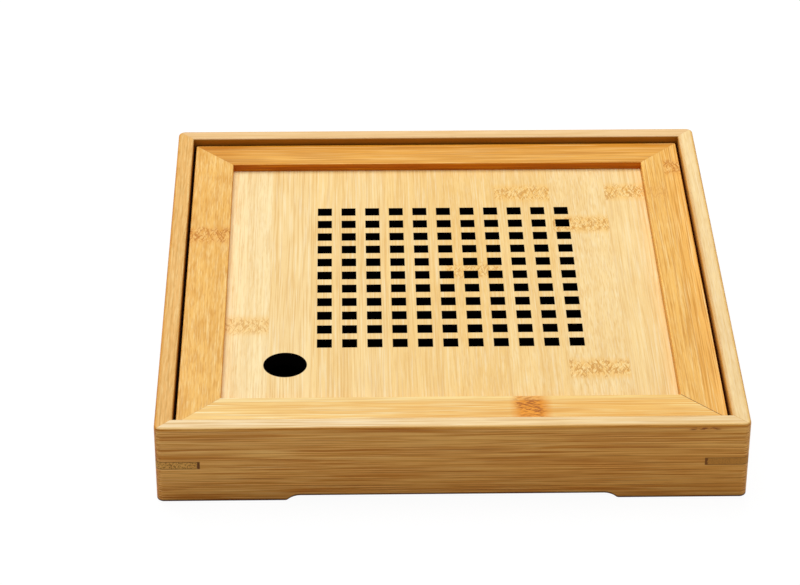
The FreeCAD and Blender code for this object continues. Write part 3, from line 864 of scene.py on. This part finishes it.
# How much light the paper gives back to the tray, how brightly the camera sees it, and how
# strongly it sees the tray's shadow on it
PAPER_ALBEDO = 0.80
PAPER_GLOW = 0.95
PAPER_SHADE = 0.08
floor_corners = [
    (x * HALF_FLOOR, y * HALF_FLOOR, 0) for x, y in ((-1, -1), (1, -1), (1, 1), (-1, 1))
]
floor_mesh = bpy.data.meshes.new("floor")
floor_mesh.from_pydata(floor_corners, [], [(0, 1, 2, 3)])
floor = bpy.data.objects.new("floor", floor_mesh)
bpy.context.scene.collection.objects.link(floor)
paper = new_material("white_paper")
ray = add_node(paper, "LightPath", {})
seen = add_node(
    paper, "Math", {0: ray["Is Camera Ray"], 1: ray["Is Glossy Ray"]}, operation="MAXIMUM"
)[0]
seen = add_node(paper, "Math", {0: seen, 1: ray["Is Transmission Ray"]}, operation="MAXIMUM")[0]
bounce = add_node(paper, "BsdfDiffuse", {"Color": (PAPER_ALBEDO,) * 3 + (1.0,)})[0]
shadow = add_node(paper, "BsdfDiffuse", {"Color": (PAPER_SHADE,) * 3 + (1.0,)})[0]
glow = add_node(paper, "Emission", {"Color": linear(WHITE), "Strength": PAPER_GLOW})[0]
bright = add_node(paper, "AddShader", {0: shadow, 1: glow})[0]
sheet = add_node(paper, "MixShader", {0: seen, 1: bounce, 2: bright})[0]
clear = add_node(paper, "BsdfTransparent", {})[0]
underside = add_node(paper, "NewGeometry", {})["Backfacing"]
sheet = add_node(paper, "MixShader", {0: underside, 1: sheet, 2: clear})[0]
add_node(paper, "OutputMaterial", {0: sheet})
floor_mesh.materials.append(paper)

# The camera sees the room as white, while it lights the tray, and shows in its sheen, at a
# plain level
ROOM_LEVEL = 0.26
world = bpy.data.worlds.new("studio")
bpy.context.scene.world = world
world.use_nodes = True
world.node_tree.nodes.clear()
room_ray = add_node(world, "LightPath", {})
room_seen = add_node(
    world, "Math", {0: room_ray["Is Camera Ray"], 1: room_ray["Is Transmission Ray"]},
    operation="MAXIMUM",
)[0]
room_level = add_node(
    world, "MapRange", {"Value": room_seen, "To Min": ROOM_LEVEL, "To Max": 1.0}
)[0]
room = add_node(world, "Background", {"Color": linear(WHITE), "Strength": room_level})[0]
add_node(world, "OutputWorld", {0: room})

# The lamp: its place and its width in metres, and its power in watts
KEY_PLACE = Vector((-0.20, 0.65, 1.60))
KEY_SIZE = 1.6
KEY_WATTS = 31.4
key_light = bpy.data.lights.new("key", "AREA")
key_light.shape = "SQUARE"
key_light.size = KEY_SIZE
key_light.energy = KEY_WATTS
key = bpy.data.objects.new("key", key_light)
key.location = KEY_PLACE
key.rotation_euler = (-KEY_PLACE).to_track_quat("-Z", "Y").to_euler()
bpy.context.scene.collection.objects.link(key)

# The camera
# It stands in front of the tray and looks down on it at about thirty-three degrees, through a
# long lens.  Its place is in metres and its turn in degrees.
SENSOR_WIDTH = 36.0
LENS = 133.93
CAMERA_PLACE = (-0.0351, -0.9099, 0.6054)
CAMERA_TURN = (57.21, -0.19, -1.09)
camera_data = bpy.data.cameras.new("camera")
camera_data.sensor_width = SENSOR_WIDTH
camera_data.lens = LENS
camera = bpy.data.objects.new("camera", camera_data)
camera.location = CAMERA_PLACE
camera.rotation_euler = [math.radians(angle) for angle in CAMERA_TURN]
bpy.context.scene.collection.objects.link(camera)
bpy.context.scene.camera = camera
bpy.context.scene.view_settings.view_transform = "Standard"
